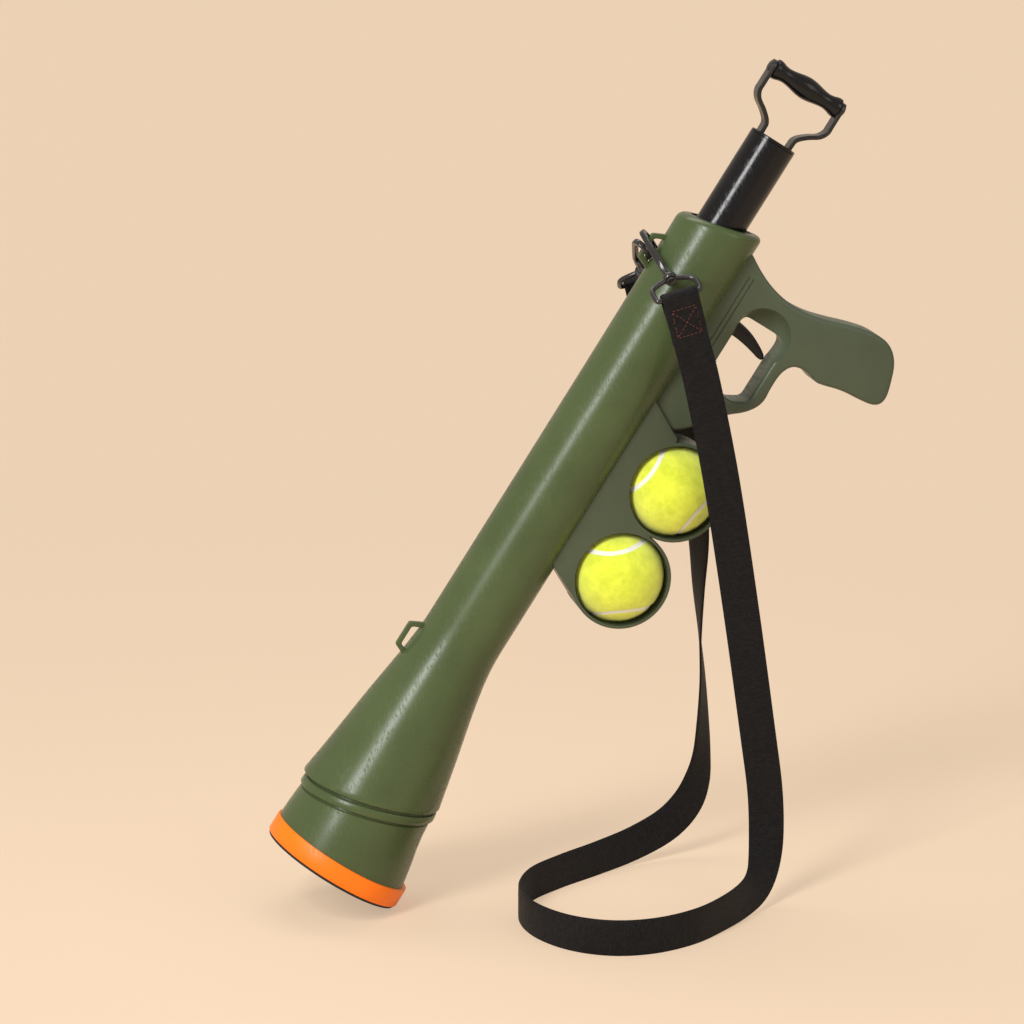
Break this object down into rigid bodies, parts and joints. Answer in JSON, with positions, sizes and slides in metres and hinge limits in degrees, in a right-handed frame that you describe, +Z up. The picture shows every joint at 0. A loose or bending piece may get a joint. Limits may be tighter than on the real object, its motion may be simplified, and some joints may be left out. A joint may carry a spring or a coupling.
{
  "type": "ball launcher",
  "caption": "Hand-cocked spring launcher for dog balls, leaning on its flared muzzle: pistol grip with trigger, pull handle, spare balls in open cups, and a clipped carrying strap.",
  "frame": {"origin": "on the floor, under the middle of the launcher's bounding box without its strap; z = 0 is the floor that the muzzle's lip rests on", "axes": "+Z up and along the launcher's longest extent as it leans, +Y across it toward the far side of the grip and along its shortest extent, +X the way the handle leans"},
  "size_m": [0.4352, 0.2319, 0.5815],
  "materials": {
    "olive_plastic": "semi-gloss moulded, very fine grain",
    "olive_plastic_matt": "satin moulded",
    "orange_plastic": "semi-gloss",
    "black_plastic": "gloss",
    "black_inner_plastic": "satin",
    "black_rubber": "matt",
    "black_steel": "gloss black",
    "black_zinc": "bright black plating",
    "plain_steel": "bright",
    "felt": "fluffy felt",
    "webbing": "plain woven"
  },
  "bodies": {
    "barrel": {"barrel": "olive_plastic", "rear_bush": "black_inner_plastic", "funnel": "olive_plastic", "seam_bead": "olive_plastic", "muzzle_ring": "orange_plastic", "muzzle_lip": "black_rubber", "ball_retainer": "black_rubber", "stop_ring": "black_inner_plastic", "buffer_washer": "black_rubber", "spring_seat": "black_inner_plastic", "main_spring": "plain_steel", "frame_near": "olive_plastic_matt", "frame_far": "olive_plastic_matt", "frame_screws": "black_steel", "trigger_pin": "plain_steel", "trigger_spring": "plain_steel", "sear_pin": "plain_steel", "sear_spring": "plain_steel", "near_eye": "black_zinc", "far_eye": "black_zinc", "strap": "webbing"},
    "puller": {"pull_tube": "black_plastic", "plunger_head": "black_inner_plastic", "plunger_pad": "black_rubber", "tube_cap": "black_plastic", "cap_pin": "black_steel", "yoke": "black_steel", "grip_pin": "plain_steel"},
    "grip": {"handle_grip": "black_plastic"},
    "trigger": {"trigger": "olive_plastic_matt"},
    "sear": {"sear": "plain_steel"},
    "front_ball": {"spare_ball_front": "felt"},
    "rear_ball": {"spare_ball_rear": "felt"},
    "near_snap": {"near_hook": "black_zinc"},
    "near_snap_gate": {"near_gate": "black_zinc"},
    "far_snap": {"far_hook": "black_zinc"},
    "far_snap_gate": {"far_gate": "black_zinc"}
  },
  "joints": [
    {"name": "pull", "type": "slide", "parent": "barrel", "child": "puller", "axis": [0.5373, 0, 0.8434], "range_m": [0, 0.11], "stiffness_N_per_m": 280, "springref_m": -0.05, "deforming": ["main_spring"]},
    {"name": "grip_spin", "type": "hinge", "parent": "puller", "child": "grip", "pos_m": [0.15481, 0, 0.56075], "axis": [-0.8434, 0, 0.5373], "continuous": true},
    {"name": "trigger_pull", "type": "hinge", "parent": "barrel", "child": "trigger", "pos_m": [0.09855, 0, 0.40451], "axis": [0, -1, 0], "range_deg": [0, 14], "stiffness_Nm_per_rad": 0.12, "springref_deg": -17.19, "deforming": ["trigger_spring"]},
    {"name": "sear_drop", "type": "hinge", "parent": "barrel", "child": "sear", "pos_m": [0.07844, 0, 0.37108], "axis": [0, -1, 0], "range_deg": [-9.1, 0], "deforming": ["sear_spring"]},
    {"name": "front_ball_out", "type": "slide", "parent": "barrel", "child": "front_ball", "axis": [0, 1, 0], "range_m": [0, 0.032]},
    {"name": "rear_ball_out", "type": "slide", "parent": "barrel", "child": "rear_ball", "axis": [0, 1, 0], "range_m": [0, 0.032]},
    {"name": "near_swivel", "type": "hinge", "parent": "barrel", "child": "near_snap", "pos_m": [0.05334, -0.03419, 0.4394], "axis": [0.1841, -0.8319, -0.5235], "range_deg": [-4, 4]},
    {"name": "near_gate", "type": "hinge", "parent": "near_snap", "child": "near_snap_gate", "pos_m": [0.05402, -0.02529, 0.44172], "axis": [0.759, -0.218, 0.6135], "range_deg": [0, 14], "stiffness_Nm_per_rad": 0.01, "springref_deg": -28.65},
    {"name": "far_swivel", "type": "hinge", "parent": "barrel", "child": "far_snap", "pos_m": [0.04925, 0.03419, 0.43299], "axis": [0.1841, 0.8319, -0.5235], "range_deg": [-4, 4]},
    {"name": "far_gate", "type": "hinge", "parent": "far_snap", "child": "far_snap_gate", "pos_m": [0.04994, 0.02529, 0.43531], "axis": [-0.759, -0.218, -0.6135], "range_deg": [0, 14], "stiffness_Nm_per_rad": 0.01, "springref_deg": -28.65}
  ],
  "couplings": [
    {"joint": "sear_drop", "follows": "trigger_pull", "ratio": -0.65}
  ]
}
